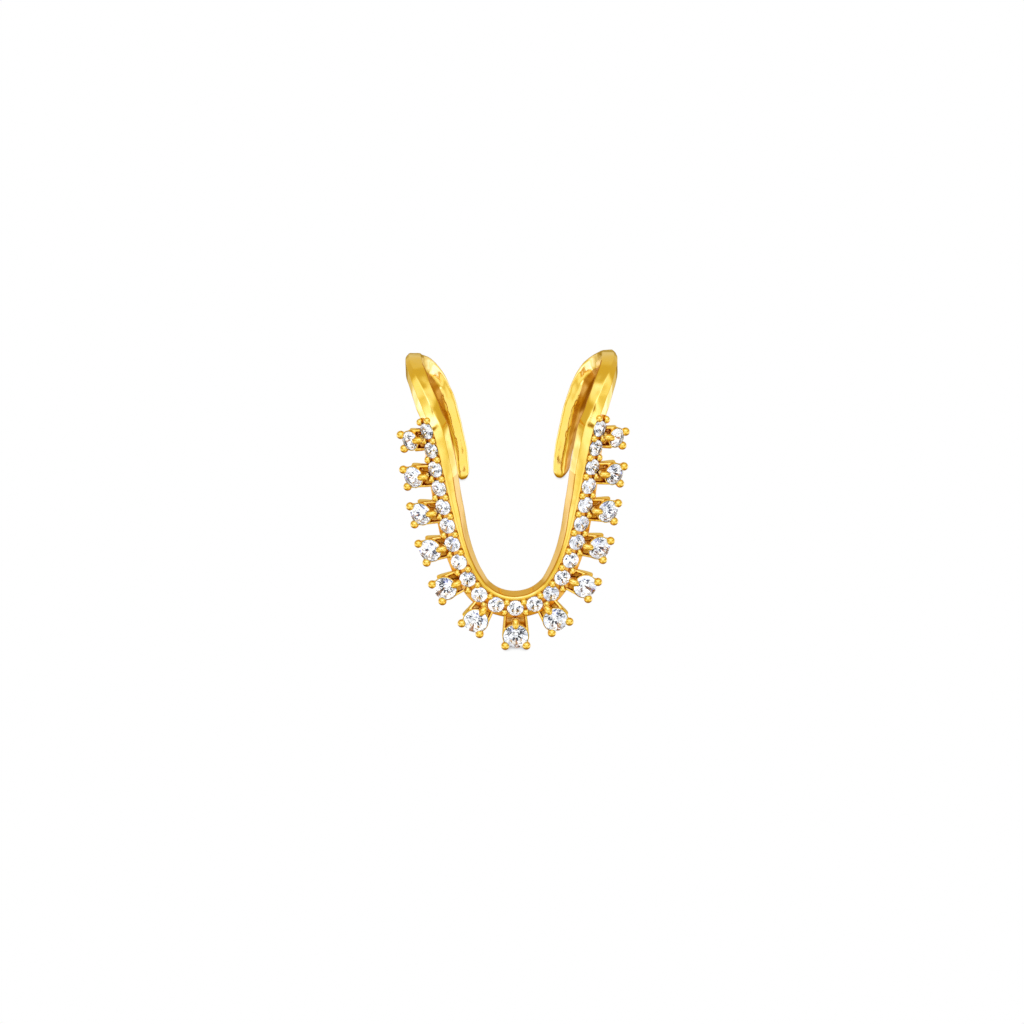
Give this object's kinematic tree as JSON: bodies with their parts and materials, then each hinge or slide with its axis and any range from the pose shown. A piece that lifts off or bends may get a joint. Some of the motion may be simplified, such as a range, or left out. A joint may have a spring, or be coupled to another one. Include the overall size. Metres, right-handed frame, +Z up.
{
  "type": "vanki ring",
  "caption": "Open-backed finger ring: a U-shaped polished front with a row of small round stones and a fringe of larger ones on stems, and two free tails behind.",
  "frame": {"origin": "bottom centre of the bounding box, on the surface that the ring rests on", "axes": "+Z up; the U-shaped front faces -Y with its lowest setting towards -Y, and the tails are towards +Y; the ring is mirrored across X"},
  "size_m": [0.0214, 0.0264, 0.0203],
  "materials": {
    "gold": "high polish yellow gold",
    "stone": "clear, cut and polished"
  },
  "bodies": {
    "root": {"ring_body": "gold", "row_stone_left_11": "stone", "row_stone_left_10": "stone", "row_stone_left_9": "stone", "row_stone_left_8": "stone", "row_stone_left_7": "stone", "row_stone_left_6": "stone", "row_stone_left_5": "stone", "row_stone_left_4": "stone", "row_stone_left_3": "stone", "row_stone_left_2": "stone", "row_stone_left_1": "stone", "row_stone_center": "stone", "row_stone_right_1": "stone", "row_stone_right_2": "stone", "row_stone_right_3": "stone", "row_stone_right_4": "stone", "row_stone_right_5": "stone", "row_stone_right_6": "stone", "row_stone_right_7": "stone", "row_stone_right_8": "stone", "row_stone_right_9": "stone", "row_stone_right_10": "stone", "row_stone_right_11": "stone", "fringe_stone_center": "stone", "fringe_stone_left_1": "stone", "fringe_stone_right_1": "stone", "fringe_stone_left_2": "stone", "fringe_stone_right_2": "stone", "fringe_stone_left_3": "stone", "fringe_stone_right_3": "stone", "fringe_stone_left_4": "stone", "fringe_stone_right_4": "stone", "fringe_stone_left_5": "stone", "fringe_stone_right_5": "stone", "fringe_stone_left_6": "stone", "fringe_stone_right_6": "stone"}
  },
  "joints": []
}
